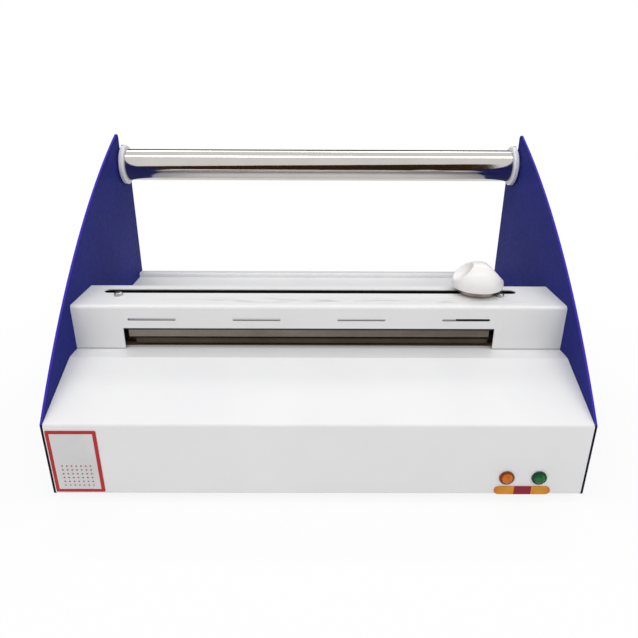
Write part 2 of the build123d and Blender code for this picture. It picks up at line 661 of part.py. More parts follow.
def roll_plug(side):
    """Flanged nylon plug: spigot in the tube, flange against the plate, stub in its slot."""
    outer = HALF_WIDTH + PLATE_THICKNESS
    flange_out = HALF_WIDTH - PLUG_END_GAP
    flange_in = flange_out - PLUG_FLANGE_THICKNESS
    spigot_in = flange_in - PLUG_SPIGOT_LENGTH
    spigot_radius = TUBE_RADIUS - TUBE_WALL - RUNNING_CLEARANCE
    hollow_radius = spigot_radius - 2 * TUBE_WALL
    profile = Polyline(
        (spigot_in, hollow_radius),
        (spigot_in, spigot_radius),
        (flange_in, spigot_radius),
        (flange_in, PLUG_FLANGE_RADIUS - PLUG_EDGE),
        (flange_in + PLUG_EDGE, PLUG_FLANGE_RADIUS),
        (flange_out - PLUG_EDGE, PLUG_FLANGE_RADIUS),
        (flange_out, PLUG_FLANGE_RADIUS - PLUG_EDGE),
        (flange_out, STUB_RADIUS),
        (outer, STUB_RADIUS),
        (outer, 0),
        (flange_in, 0),
        (flange_in, hollow_radius),
        close=True,
    )
    plug = revolve(Plane.XZ * make_face(profile), Axis.X)
    if side < 0:
        plug = mirror(plug, about=Plane.YZ)
    return Pos(0, ROLL_AXIS_Y, ROLL_AXIS_Z) * plug


def lamp_bezel(x):
    """Round bezel on the panel, with the lamp's barrel through it."""
    ring = rod_along_y(-BEZEL_HEIGHT, 0, x, LAMP_LEVEL, BEZEL_RADIUS)
    ring = fillet(ring.edges().sort_by(Axis.Y)[0], BEZEL_HEIGHT / 3)
    barrel = rod_along_y(0, LAMP_BODY_DEPTH, x, LAMP_LEVEL, LAMP_BODY_RADIUS)
    return ring + barrel


def lamp_lens(x):
    """Domed lens that stands on the bezel."""
    rise = LENS_HEIGHT - BEZEL_HEIGHT
    ball = (LENS_RADIUS**2 + rise**2) / (2 * rise)
    halfway = LENS_RADIUS / 2
    height_there = rise - ball + math.sqrt(ball**2 - halfway**2)
    profile = make_face([
        Line((0, 0), (LENS_RADIUS, 0)),
        ThreePointArc((LENS_RADIUS, 0), (halfway, height_there), (0, rise)),
        Line((0, rise), (0, 0)),
    ])
    dome = revolve(Plane.XZ * profile, Axis.Z)
    return Pos(x, -BEZEL_HEIGHT, LAMP_LEVEL) * (Rot(90, 0, 0) * dome)


def marker_strip():
    """Flat strip with round ends under the lamps."""
    return slot_through_y(STRIP_X, STRIP_LEVEL, STRIP_LENGTH, STRIP_HEIGHT, -STRIP_THICKNESS, 0)


def name_plate():
    """Thin plate at the left end of the front panel."""
    left = -HALF_WIDTH + NAME_PLATE_MARGIN
    plate = block((left, left + NAME_PLATE_WIDTH), (-NAME_PLATE_THICKNESS, 0),
                  (BEND_RADIUS + SHEET, NAME_PLATE_HEIGHT))
    return fillet(plate.edges().filter_by(Axis.Y), 2 * NAME_PLATE_THICKNESS)


def power_inlet():
    """Appliance inlet with a flange on the back panel and three pins in its socket."""
    face = REAR_FACE + INLET_FLANGE_THICKNESS
    flange = block((INLET_X - INLET_FLANGE_WIDTH / 2, INLET_X + INLET_FLANGE_WIDTH / 2), (REAR_FACE, face),
                   (INLET_LEVEL - INLET_FLANGE_HEIGHT / 2, INLET_LEVEL + INLET_FLANGE_HEIGHT / 2))
    flange = fillet(flange.edges().filter_by(Axis.Y), INLET_FLANGE_THICKNESS)
    body = block((INLET_X - INLET_WIDTH / 2, INLET_X + INLET_WIDTH / 2), (face - INLET_DEPTH, REAR_FACE),
                 (INLET_LEVEL - INLET_HEIGHT / 2, INLET_LEVEL + INLET_HEIGHT / 2))
    socket = block((INLET_X - INLET_SOCKET_WIDTH / 2, INLET_X + INLET_SOCKET_WIDTH / 2),
                   (face - INLET_SOCKET_DEPTH, face + INLET_FLANGE_THICKNESS),
                   (INLET_LEVEL - INLET_SOCKET_HEIGHT / 2, INLET_LEVEL + INLET_SOCKET_HEIGHT / 2))
    inlet = flange + body - socket
    for column in (-1, 0, 1):
        x = INLET_X + column * PIN_SPACING
        z = INLET_LEVEL + (PIN_STAGGER if column == 0 else -PIN_STAGGER)
        inlet += block((x - PIN_WIDTH / 2, x + PIN_WIDTH / 2), (face - INLET_SOCKET_DEPTH, face - PIN_RECESS),
                       (z - PIN_HEIGHT / 2, z + PIN_HEIGHT / 2))
    return inlet


def power_switch():
    """Rocker switch in the back panel, with the rocker tilted to off."""
    face = REAR_FACE + SWITCH_RIM
    half = SWITCH_WIDTH / 2
    high = SWITCH_HEIGHT / 2
    rim = block((SWITCH_X - half - SWITCH_RIM, SWITCH_X + half + SWITCH_RIM), (REAR_FACE, face),
                (INLET_LEVEL - high - SWITCH_RIM, INLET_LEVEL + high + SWITCH_RIM))
    body = block((SWITCH_X - half, SWITCH_X + half), (REAR_FACE - SWITCH_DEPTH, REAR_FACE),
                 (INLET_LEVEL - high, INLET_LEVEL + high))
    inner = half - SWITCH_RIM / 2
    rocker_outline = make_face(Polyline(
        (SWITCH_X - inner, face), (SWITCH_X - inner, face + ROCKER_RISE), (SWITCH_X, face + ROCKER_RISE / 4),
        (SWITCH_X + inner, face + ROCKER_RISE / 8), (SWITCH_X + inner, face), close=True))
    low = INLET_LEVEL - high + SWITCH_RIM / 2
    rocker = extrude(Plane.XY.offset(low) * rocker_outline, amount=SWITCH_HEIGHT - SWITCH_RIM)
    return rim + body + rocker


def fuse_holder():
    """Round fuse holder beside the switch."""
    cap = rod_along_y(REAR_FACE, REAR_FACE + FUSE_CAP_HEIGHT, FUSE_X, INLET_LEVEL, FUSE_CAP_RADIUS)
    cap = chamfer(cap.edges().sort_by(Axis.Y)[-1], FUSE_CAP_HEIGHT / 6)
    body = rod_along_y(REAR_FACE - FUSE_BODY_DEPTH, REAR_FACE, FUSE_X, INLET_LEVEL, FUSE_BODY_RADIUS)
    slot = block((FUSE_X - FUSE_BODY_RADIUS, FUSE_X + FUSE_BODY_RADIUS),
                 (REAR_FACE + FUSE_CAP_HEIGHT * 2 / 3, REAR_FACE + 2 * FUSE_CAP_HEIGHT),
                 (INLET_LEVEL - PIN_WIDTH / 2, INLET_LEVEL + PIN_WIDTH / 2))
    return cap + body - slot


nodes = {
    "side_plate_left": side_plate(-HALF_WIDTH - PLATE_THICKNESS),
    "side_plate_right": side_plate(HALF_WIDTH),
    "front_cover": front_cover(),
    **head_pieces(),
    "rear_shelf": rear_shelf(),
    "back_panel": back_panel(),
    "base_plate": base_plate(),
    "bed_beam": bed_beam(),
    "heater_bar": heater_bar(),
    "heater_tape": heater_tape(),
    "cutting_strip": cutting_strip(),
    "upper_seal_bar": upper_seal_bar(),
    "film_guard": film_guard(),
    "guide_rail": guide_rail(),
    "slider_carriage": slider_carriage(),
    "slider_knob": slider_knob(),
    "slider_disc": slider_disc(),
    "cutter_blade": cutter_blade(),
    "roll_tube": roll_tube(),
    "marker_strip": marker_strip(),
    "name_plate": name_plate(),
    "power_inlet": power_inlet(),
    "power_switch": power_switch(),
    "fuse_holder": fuse_holder(),
}
for side, word in ((-1, "left"), (1, "right")):
    nodes["seal_bar_hanger_" + word] = seal_bar_hanger(side)
    nodes["head_screw_" + word] = head_screw(side)
    nodes["roll_plug_" + word] = roll_plug(side)
    foot_x = side * (HALF_WIDTH - FOOT_INSET_X)
    nodes["foot_front_" + word] = foot(foot_x, FOOT_INSET_Y)
    nodes["foot_rear_" + word] = foot(foot_x, DEPTH - FOOT_INSET_Y)
for x, word in ((LAMP_AMBER_X, "amber"), (LAMP_GREEN_X, "green")):
    nodes["lamp_bezel_" + word] = lamp_bezel(x)
    nodes["lamp_lens_" + word] = lamp_lens(x)

# The origin goes under the middle of the whole machine, where its feet stand
front_reach = -LENS_HEIGHT
rear_reach = REAR_FACE + FUSE_CAP_HEIGHT
to_origin = Pos(0, -(front_reach + rear_reach) / 2, FOOT_HEIGHT)
os.makedirs("parts", exist_ok=True)
for name, solid in nodes.items():
    export_step(to_origin * solid, "parts/" + name + ".step")
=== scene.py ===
import math

import bpy
from mathutils import Matrix, Vector


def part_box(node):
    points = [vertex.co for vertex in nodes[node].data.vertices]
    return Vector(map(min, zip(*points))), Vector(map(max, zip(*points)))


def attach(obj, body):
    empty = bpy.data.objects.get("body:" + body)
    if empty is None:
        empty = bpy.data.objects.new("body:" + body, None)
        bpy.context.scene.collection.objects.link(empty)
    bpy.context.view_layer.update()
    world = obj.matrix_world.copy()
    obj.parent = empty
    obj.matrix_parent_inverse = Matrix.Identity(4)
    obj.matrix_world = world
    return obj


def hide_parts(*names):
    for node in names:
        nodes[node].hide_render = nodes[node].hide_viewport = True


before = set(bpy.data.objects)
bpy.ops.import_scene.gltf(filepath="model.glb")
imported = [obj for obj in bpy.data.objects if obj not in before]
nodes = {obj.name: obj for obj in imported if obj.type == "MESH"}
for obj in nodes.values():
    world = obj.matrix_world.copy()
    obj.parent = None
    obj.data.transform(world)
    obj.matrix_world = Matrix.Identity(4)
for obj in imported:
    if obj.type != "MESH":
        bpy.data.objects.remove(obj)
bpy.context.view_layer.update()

# Tabletop pouch sealer. Metres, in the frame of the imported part: X right, Y back, Z up.
MM = 0.001

# Camera
CAMERA_PLACE = (-0.00211, -0.56055, 0.34469)
CAMERA_TILT = math.radians(67.111)
CAMERA_YAW = math.radians(-0.238)
CAMERA_ROLL = math.radians(0.242)
CAMERA_LENS = 32.613

# Light
AMBIENT = 0.42
TOP_LAMP_PLACE = (0.0, -0.23, 1.45)
TOP_LAMP_SIZE = (2.6, 0.20)
TOP_LAMP_POWER = 7.5
REAR_LAMP_PLACE = (0.0, 1.08, 1.45)
REAR_LAMP_SIZE = (2.6, 0.22)
REAR_LAMP_POWER = 8.5
FILL_LAMP_PLACE = (0.0, -1.05, 1.25)
FILL_LAMP_SIZE = (2.2, 0.9)
FILL_LAMP_POWER = 11.5
FLOOR_SIZE = 12.0
SHADOW_REACH = (0.24, 0.55)
SHADOW_SHARE = 0.14

# What the polished metal shows of the room: a dark shape in front and a dim wall behind
FRONT_SHAPE_Y = -0.336
FRONT_SHAPE = ((-0.36, 0.04), (0.335, 0.0), (0.335, 0.42), (-0.36, 0.22))
FRONT_SHAPE_COLOUR = (0.045, 0.022, 0.008)
BACK_WALL_Y = 1.6
BACK_WALL_SIZE = (3.0, 1.5)
BACK_WALL_COLOUR = (0.10, 0.10, 0.09)

# Screws
SCREW_SEGMENTS = 48
PLATE_SCREW_RADIUS = 4.0 * MM
PLATE_SCREW_HEIGHT = 1.6 * MM
SMALL_SCREW_RADIUS = 2.6 * MM
SMALL_SCREW_HEIGHT = 1.2 * MM
PLATE_SCREW_INSETS = (16.0 * MM, 20.0 * MM)

# Head
SHEET_SKIN = 0.9 * MM
RUB_SHIFT = -0.03

# Print on the front
STRIP_SHARE_LEFT = 0.350
STRIP_SHARE_RIGHT = 0.658
PLATE_FRAME = 3.0 * MM
PLATE_DOT_PITCH = 4.0 * MM
PLATE_DOT_RADIUS = 0.8 * MM


class Nodes:
    """Short hand for one material's node tree."""

    def __init__(self, name):
        self.material = bpy.data.materials.new(name)
        self.material.use_nodes = True
        self.tree = self.material.node_tree
        self.shader = self.tree.nodes["Principled BSDF"]
        self.out = self.tree.nodes["Material Output"]
        place = self.add("ShaderNodeTexCoord")
        self.place = place.outputs["Object"]

    def add(self, kind, **settings):
        node = self.tree.nodes.new(kind)
        for key, value in settings.items():
            setattr(node, key, value)
        return node

    def link(self, output, target):
        self.tree.links.new(output, target)

    def stretched(self, scale):
        mapping = self.add("ShaderNodeMapping")
        mapping.inputs["Scale"].default_value = scale
        self.link(self.place, mapping.inputs["Vector"])
        return mapping.outputs["Vector"]

    def noise(self, scale, detail=3.0, roughness=0.5, source=None):
        node = self.add("ShaderNodeTexNoise")
        node.inputs["Scale"].default_value = scale
        node.inputs["Detail"].default_value = detail
        node.inputs["Roughness"].default_value = roughness
        self.link(source or self.place, node.inputs["Vector"])
        return node.outputs["Fac"]

    def spread(self, source, low, high, from_low=0.3, from_high=0.7):
        node = self.add("ShaderNodeMapRange")
        node.inputs["From Min"].default_value = from_low
        node.inputs["From Max"].default_value = from_high
        node.inputs["To Min"].default_value = low
        node.inputs["To Max"].default_value = high
        self.link(source, node.inputs["Value"])
        return node.outputs["Result"]

    def maths(self, operation, first, second=None):
        node = self.add("ShaderNodeMath", operation=operation)
        for socket, value in zip(node.inputs, (first, second)):
            if value is None:
                continue
            if isinstance(value, (int, float)):
                socket.default_value = value
            else:
                self.link(value, socket)
        return node.outputs["Value"]

    def blend(self, share, first, second):
        node = self.add("ShaderNodeMix", data_type="RGBA")
        sockets = [socket for socket in node.inputs if socket.enabled]
        for socket, value in zip(sockets, (share, first, second)):
            if isinstance(value, tuple):
                socket.default_value = (*value, 1.0)
            elif isinstance(value, (int, float)):
                socket.default_value = value
            else:
                self.link(value, socket)
        return [socket for socket in node.outputs if socket.enabled][0]

    def axis(self, name):
        node = self.add("ShaderNodeSeparateXYZ")
        self.link(self.place, node.inputs["Vector"])
        return node.outputs[name]

    def bump(self, heights, depth, strength=1.0, after=None):
        node = self.add("ShaderNodeBump")
        node.inputs["Distance"].default_value = depth
        node.inputs["Strength"].default_value = strength
        self.link(heights, node.inputs["Height"])
        if after is not None:
            self.link(after, node.inputs["Normal"])
        return node.outputs["Normal"]

    def finish(self, colour=None, roughness=None, normal=None):
        for name, value in (("Base Color", colour), ("Roughness", roughness), ("Normal", normal)):
            if value is None:
                continue
            if isinstance(value, tuple):
                self.shader.inputs[name].default_value = (*value, 1.0)
            elif isinstance(value, (int, float)):
                self.shader.inputs[name].default_value = value
            else:
                self.link(value, self.shader.inputs[name])
        return self.material


def powder_coat(name, colour, tint, roughness, peel=0.00003):
    """Powder coat: faint patches of tint, and an orange-peel surface over slightly wavy sheet."""
    n = Nodes(name)
    patches = n.spread(n.noise(14.0, 4.0), 0.0, 1.0)
    base = n.blend(patches, colour, tint)
    rough = n.spread(n.noise(260.0, 3.0), roughness - 0.05, roughness + 0.07)
    wave = n.bump(n.noise(9.0, 1.0), 0.0006, 0.35)
    fine = n.bump(n.noise(1300.0, 2.0), peel, 0.6, wave)
    n.shader.inputs["Coat Weight"].default_value = 0.25
    n.shader.inputs["Coat Roughness"].default_value = 0.22
    return n.finish(base, rough, fine)


def head_coat():
    """The head's powder coat, with grey rub marks along the front of its top, where pouches and
    hands pass, and painted shade: its inside faces are coloured near black."""
    n = Nodes("head_coat")
    low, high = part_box("head_cover")
    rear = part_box("head_rear")[1]
    x, y, z = (n.axis(name) for name in "XYZ")
    patches = n.spread(n.noise(14.0, 4.0), 0.0, 1.0)
    base = n.blend(patches, (0.80, 0.80, 0.80), (0.77, 0.77, 0.77))
    streaks = n.spread(n.noise(1.0, 5.0, 0.62, n.stretched((38.0, 620.0, 620.0))), 0.0, 1.0, 0.50, 0.60)
    where = n.spread(y, 0.0, 1.0, low.y + 6 * MM, low.y + 11 * MM)
    behind = n.spread(y, 1.0, 0.0, low.y + 17 * MM, low.y + 24 * MM)
    along = n.spread(n.maths("ABSOLUTE", n.maths("ADD", x, RUB_SHIFT)), 1.0, 0.0, 0.10, 0.19)
    marks = n.maths("MULTIPLY", n.maths("MULTIPLY", where, behind), n.maths("MULTIPLY", streaks, along))
    rubbed = n.blend(n.maths("MULTIPLY", marks, 0.60), base, (0.40, 0.39, 0.40))
    past_front = n.maths("GREATER_THAN", y, low.y + SHEET_SKIN)
    before_rear = n.maths("LESS_THAN", y, rear.y - SHEET_SKIN)
    under_top = n.maths("LESS_THAN", z, high.z - SHEET_SKIN)
    inside = n.maths("MULTIPLY", n.maths("MULTIPLY", past_front, before_rear), under_top)
    # painted shade: the head's inside faces are coloured near black to stand in for the shade inside it
    painted_inside_shade = n.blend(patches, (0.030, 0.030, 0.032), (0.045, 0.045, 0.046))
    colour = n.blend(inside, rubbed, painted_inside_shade)
    rough = n.spread(n.noise(260.0, 3.0), 0.35, 0.47)
    wave = n.bump(n.noise(9.0, 1.0), 0.0006, 0.35)
    fine = n.bump(n.noise(1300.0, 2.0), 0.00003, 0.6, wave)
    n.shader.inputs["Coat Weight"].default_value = 0.15
    n.shader.inputs["Coat Roughness"].default_value = 0.25
    return n.finish(colour, rough, fine)


def blue_coat():
    """Deep blue paint on the side plates: satin faces, a painted highlight of brighter violet-blue on the
    cut edges, and a painted shadow that darkens the front edge beside the panel."""
    n = Nodes("blue_coat")
    low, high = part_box("front_cover")
    patches = n.spread(n.noise(11.0, 4.0), 0.0, 1.0)
    face = n.blend(patches, (0.016, 0.020, 0.170), (0.020, 0.025, 0.205))
    normal = n.add("ShaderNodeSeparateXYZ")
    geometry = n.add("ShaderNodeNewGeometry")
    n.link(geometry.outputs["True Normal"], normal.inputs["Vector"])
    cut = n.maths("LESS_THAN", n.maths("ABSOLUTE", normal.outputs["X"]), 0.5)
    # painted highlight: the cut edges get a brighter violet-blue than the faces of the same paint
    edge_highlighted = n.blend(cut, face, (0.050, 0.030, 0.420))
    # painted shadow: the plates' front edge beside the front panel is coloured near black
    beside = n.maths("LESS_THAN", n.axis("Z"), low.z + 70.5 * MM)
    front = n.maths("LESS_THAN", n.axis("Y"), low.y + 1.0 * MM)
    dark = n.maths("MULTIPLY", n.maths("MULTIPLY", beside, front), cut)
    colour = n.blend(dark, edge_highlighted, (0.006, 0.006, 0.020))
    rough = n.spread(n.noise(220.0, 3.0), 0.50, 0.62)
    fine = n.bump(n.noise(1200.0, 2.0), 0.00003, 0.6)
    n.shader.inputs["Specular IOR Level"].default_value = 0.05
    return n.finish(colour, rough, fine)


def metal(name, colour, stain, roughness, grain=(18.0, 2600.0, 2600.0), depth=0.000012):
    """Metal with fine polishing lines along X and slight staining."""
    n = Nodes(name)
    lines = n.noise(1.0, 4.0, 0.6, n.stretched(grain))
    cloud = n.spread(n.noise(24.0, 4.0), 0.0, 1.0)
    base = n.blend(cloud, colour, stain)
    rough = n.spread(lines, roughness * 0.75, roughness * 1.35)
    n.shader.inputs["Metallic"].default_value = 1.0
    return n.finish(base, rough, n.bump(lines, depth, 0.6))


def plastic(name, colour, tint, roughness, grain=900.0, depth=0.00002, coat=0.0):
    """Moulded plastic with a fine surface and faint change of shade."""
    n = Nodes(name)
    base = n.blend(n.spread(n.noise(40.0, 3.0), 0.0, 1.0), colour, tint)
    rough = n.spread(n.noise(300.0, 2.0), roughness - 0.04, roughness + 0.05)
    n.shader.inputs["Coat Weight"].default_value = coat
    n.shader.inputs["Coat Roughness"].default_value = 0.08
    return n.finish(base, rough, n.bump(n.noise(grain, 2.0), depth, 0.6))


def lens_plastic(name, colour, deep):
    """Clear coloured plastic over a dark body, with a faint random change of shade; the darker rim copies are
    painted shade.
    """
    n = Nodes(name)
    base = n.blend(n.spread(n.noise(420.0, 2.0), 0.0, 1.0), colour, deep)
    rough = n.spread(n.noise(500.0, 2.0), 0.12, 0.22)
    n.shader.inputs["Specular IOR Level"].default_value = 0.30
    return n.finish(base, rough, n.bump(n.noise(700.0, 2.0), 0.00001, 0.4))


def strip_plastic():
    """Three-part marker strip: amber, crimson, amber."""
    n = Nodes("strip_plastic")
    low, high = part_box("marker_strip")
    width = high.x - low.x
    x = n.axis("X")
    after = n.maths("GREATER_THAN", x, low.x + STRIP_SHARE_LEFT * width)
    before = n.maths("LESS_THAN", x, low.x + STRIP_SHARE_RIGHT * width)
    amber = n.blend(n.spread(n.noise(90.0, 3.0), 0.0, 1.0), (0.62, 0.24, 0.015), (0.72, 0.31, 0.03))
    ends = n.spread(n.maths("ABSOLUTE", n.maths("SUBTRACT", x, (low.x + high.x) / 2)), 0.0, 1.0,
                    width * 0.42, width * 0.50)
    amber = n.blend(ends, amber, (0.58, 0.13, 0.02))
    colour = n.blend(n.maths("MULTIPLY", after, before), amber, (0.27, 0.012, 0.035))
    rough = n.spread(n.noise(400.0, 2.0), 0.26, 0.36)
    n.shader.inputs["Specular IOR Level"].default_value = 0.18
    return n.finish(colour, rough, n.bump(n.noise(900.0, 2.0), 0.00001, 0.5))


def plate_print():
    """Silver plate with a plain red frame, and a grid of small red dots in its lower half."""
    n = Nodes("plate_print")
    low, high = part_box("name_plate")
    width, height = high.x - low.x, high.z - low.z
    x = n.maths("SUBTRACT", n.axis("X"), (low.x + high.x) / 2)
    z = n.maths("SUBTRACT", n.axis("Z"), (low.z + high.z) / 2)
    silver = n.blend(n.spread(n.noise(30.0, 3.0), 0.0, 1.0), (0.60, 0.60, 0.61), (0.70, 0.70, 0.71))
    red = n.blend(n.spread(n.noise(60.0, 3.0), 0.0, 1.0), (0.40, 0.010, 0.012), (0.48, 0.018, 0.014))
    beyond_x = n.maths("GREATER_THAN", n.maths("ABSOLUTE", x), width / 2 - PLATE_FRAME)
    beyond_z = n.maths("GREATER_THAN", n.maths("ABSOLUTE", z), height / 2 - PLATE_FRAME)
    framed = n.blend(n.maths("MAXIMUM", beyond_x, beyond_z), silver, red)
    across = n.maths("PINGPONG", x, PLATE_DOT_PITCH / 2)
    up = n.maths("PINGPONG", z, PLATE_DOT_PITCH / 2)
    reach = n.maths("SQRT", n.maths("ADD", n.maths("MULTIPLY", across, across), n.maths("MULTIPLY", up, up)))
    dots = n.maths("LESS_THAN", reach, PLATE_DOT_RADIUS)
    inside = n.maths("LESS_THAN", n.maths("ABSOLUTE", x), width / 2 - 2.2 * PLATE_FRAME)
    below = n.maths("LESS_THAN", z, -PLATE_DOT_PITCH / 2)
    above = n.maths("GREATER_THAN", z, 2.2 * PLATE_FRAME - height / 2)
    field = n.maths("MULTIPLY", inside, n.maths("MULTIPLY", below, above))
    colour = n.blend(n.maths("MULTIPLY", dots, field), framed, (0.42, 0.03, 0.03))
    rough = n.spread(n.noise(300.0, 2.0), 0.30, 0.40)
    n.shader.inputs["Specular IOR Level"].default_value = 0.30
    return n.finish(colour, rough, n.bump(n.noise(1100.0, 2.0), 0.00001, 0.5))


def woven_tape():
    """Glass-cloth tape: a fine weave under a brown glaze."""
    n = Nodes("woven_tape")
    across = n.add("ShaderNodeTexWave", wave_type="BANDS", bands_direction="X")
    along = n.add("ShaderNodeTexWave", wave_type="BANDS", bands_direction="Y")
    for wave in (across, along):
        wave.inputs["Scale"].default_value = 420.0
        n.link(n.place, wave.inputs["Vector"])
    weave = n.maths("MULTIPLY", across.outputs["Fac"], along.outputs["Fac"])
    base = n.blend(weave, (0.16, 0.085, 0.04), (0.24, 0.14, 0.07))
    return n.finish(base, 0.42, n.bump(weave, 0.00006, 0.8))


def assign(material, *names):
    for name in names:
        mesh = nodes[name].data
        mesh.materials.clear()
        mesh.materials.append(material)


white = powder_coat("white_coat", (0.80, 0.80, 0.80), (0.765, 0.765, 0.775), 0.38)
zinc = metal("zinc_sheet", (0.50, 0.51, 0.52), (0.40, 0.41, 0.42), 0.38)
polished = metal("polished_tube", (0.60, 0.58, 0.55), (0.55, 0.53, 0.50), 0.085)
# painted shade: the film guard's polished metal is coloured dark brown-grey for the shade under the opening's
# lip
guard_metal_shaded = metal("guard_metal_shaded", (0.28, 0.25, 0.21), (0.21, 0.185, 0.15), 0.22)
steel = metal("screw_steel", (0.60, 0.60, 0.59), (0.45, 0.44, 0.43), 0.26, (400.0, 400.0, 400.0))
# painted shade: the guide rail and blade are coloured dark for the shade seen through the slot
rail_steel_shaded = metal("rail_steel_shaded", (0.16, 0.155, 0.15), (0.12, 0.115, 0.11), 0.30)
# painted shade: the seal bars, heater bar and cutting strip are coloured near black for the shade inside the
# head
bar_metal = metal("bar_metal", (0.125, 0.105, 0.085), (0.085, 0.070, 0.055), 0.36)
disc_metal = metal("disc_metal", (0.46, 0.41, 0.37), (0.36, 0.31, 0.28), 0.32, (500.0, 500.0, 500.0))
knob_plastic = plastic("knob_plastic", (0.80, 0.775, 0.765), (0.83, 0.81, 0.80), 0.36, coat=0.15)
plug_plastic = plastic("plug_plastic", (0.78, 0.78, 0.82), (0.82, 0.82, 0.85), 0.40)
carriage_plastic = plastic("carriage_plastic", (0.10, 0.10, 0.105), (0.13, 0.13, 0.135), 0.45)
black_plastic = plastic("black_plastic", (0.018, 0.018, 0.019), (0.026, 0.026, 0.027), 0.40)
rubber = plastic("foot_rubber", (0.020, 0.020, 0.020), (0.032, 0.031, 0.030), 0.72, 500.0, 0.00008)

assign(white, "front_cover", "rear_shelf", "back_panel")
assign(head_coat(), "head_cover", "head_rear", "head_bridge_left", "head_bridge_right")
assign(blue_coat(), "side_plate_left", "side_plate_right")
assign(zinc, "base_plate", "bed_beam", "seal_bar_hanger_left", "seal_bar_hanger_right")
assign(bar_metal, "upper_seal_bar", "heater_bar", "cutting_strip")
assign(woven_tape(), "heater_tape")
assign(guard_metal_shaded, "film_guard")
assign(rail_steel_shaded, "guide_rail", "cutter_blade")
assign(polished, "roll_tube")
assign(plug_plastic, "roll_plug_left", "roll_plug_right")
assign(knob_plastic, "slider_knob")
assign(disc_metal, "slider_disc")
assign(carriage_plastic, "slider_carriage")
assign(steel, "head_screw_left", "head_screw_right")
assign(black_plastic, "power_inlet", "power_switch", "fuse_holder")
assign(rubber, *[name for name in nodes if name.startswith("foot_")])
assign(strip_plastic(), "marker_strip")
assign(plate_print(), "name_plate")

# The rim colours are darker copies of the lens colours: painted shade on the sloping rims
LAMP_LOOKS = {
    "amber": (lens_plastic("amber_lens", (0.62, 0.165, 0.008), (0.48, 0.10, 0.005)),
              lens_plastic("amber_rim_shaded", (0.20, 0.038, 0.006), (0.13, 0.022, 0.004))),
    "green": (lens_plastic("green_lens", (0.004, 0.135, 0.030), (0.002, 0.090, 0.020)),
              lens_plastic("green_rim_shaded", (0.002, 0.042, 0.016), (0.001, 0.026, 0.010))),
}


def hexagon(angle, apothem):
    """Distance from the centre to a hexagon's side at that angle."""
    return apothem / math.cos((angle + math.pi / 6) % (math.pi / 3) - math.pi / 6)


def turned(name, rings, place, facing, material, body, segments=SCREW_SEGMENTS, smooth=True):
    """Turned piece: rings are (radius, height, six-sided) from the outside in, closed by a disc at
    its middle. It stands at place, and facing is the way its height runs."""
    mesh = bpy.data.meshes.new(name)
    points = []
    for radius, height, six in rings:
        for step in range(segments):
            angle = 2 * math.pi * step / segments
            reach = hexagon(angle, radius) if six else radius
            points.append((reach * math.cos(angle), reach * math.sin(angle), height))
    points.append((0.0, 0.0, rings[-1][1]))
    points.append((0.0, 0.0, rings[0][1]))
    faces = []
    for ring in range(len(rings) - 1):
        for step in range(segments):
            ahead = (step + 1) % segments
            a, b = ring * segments + step, ring * segments + ahead
            faces.append((a, b, b + segments, a + segments))
    last = (len(rings) - 1) * segments
    for step in range(segments):
        ahead = (step + 1) % segments
        faces.append((last + step, last + ahead, len(points) - 2))
        faces.append((ahead, step, len(points) - 1))
    mesh.from_pydata(points, [], faces)
    mesh.materials.append(material)
    piece = bpy.data.objects.new(name, mesh)
    bpy.context.scene.collection.objects.link(piece)
    turn = Vector((0, 0, 1)).rotation_difference(Vector(facing)).to_matrix().to_4x4()
    piece.matrix_world = Matrix.Translation(place) @ turn
    if smooth:
        for polygon in mesh.polygons:
            polygon.use_smooth = True
        mesh.set_sharp_from_angle(angle=math.radians(40))
    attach(piece, body)
    return piece


def domed_screw(name, place, facing, radius, height, body="housing"):
    """Button-head screw with a hexagon socket."""
    socket = radius * 0.42
    rings = [(radius, 0.0, False), (radius, height * 0.25, False)]
    for share in (0.35, 0.65, 0.9):
        lean = share * math.pi / 2
        rings.append((socket * 1.25 + (radius - socket * 1.25) * math.cos(lean),
                      height * (0.25 + 0.75 * math.sin(lean)), False))
    rings += [(socket * 1.25, height, False), (socket, height * 0.96, True), (socket, height * 0.35, True)]
    return turned(name, rings, place, facing, steel, body)


# Screws that hold the side plates to the flanges, on their outer faces
inset_y, inset_z = PLATE_SCREW_INSETS
head_low, head_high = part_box("head_cover")
for side, word in ((-1, "left"), (1, "right")):
    low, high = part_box("side_plate_" + word)
    face_x = low.x if side < 0 else high.x
    spots = [
        (low.y + inset_y, low.z + inset_z),
        (low.y + 3.6 * inset_y, low.z + 3 * inset_z),
        ((head_low.y + head_high.y) / 2, head_high.z - inset_y),
        (high.y - inset_y, low.z + inset_z),
        (high.y - inset_y, low.z + 4 * inset_z),
    ]
    for number, (y, z) in enumerate(spots, 1):
        domed_screw(f"plate_screw_{word}_{number}", (face_x, y, z), (side, 0, 0),
                    PLATE_SCREW_RADIUS, PLATE_SCREW_HEIGHT)

# Small screws on the inlet's flange and along the foot of the back panel
back_low, back_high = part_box("back_panel")
inlet_low, inlet_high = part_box("power_inlet")
inlet_z = (inlet_low.z + inlet_high.z) / 2
for number, x in enumerate((inlet_low.x + 4.5 * MM, inlet_high.x - 4.5 * MM), 1):
    domed_screw(f"inlet_screw_{number}", (x, inlet_high.y, inlet_z), (0, 1, 0),
                SMALL_SCREW_RADIUS, SMALL_SCREW_HEIGHT)
for number, share in enumerate((0.04, 0.35, 0.65, 0.96), 1):
    x = back_low.x + share * (back_high.x - back_low.x)
    domed_screw(f"back_screw_{number}", (x, back_high.y, back_low.z + 7 * MM), (0, 1, 0),
                SMALL_SCREW_RADIUS, SMALL_SCREW_HEIGHT)

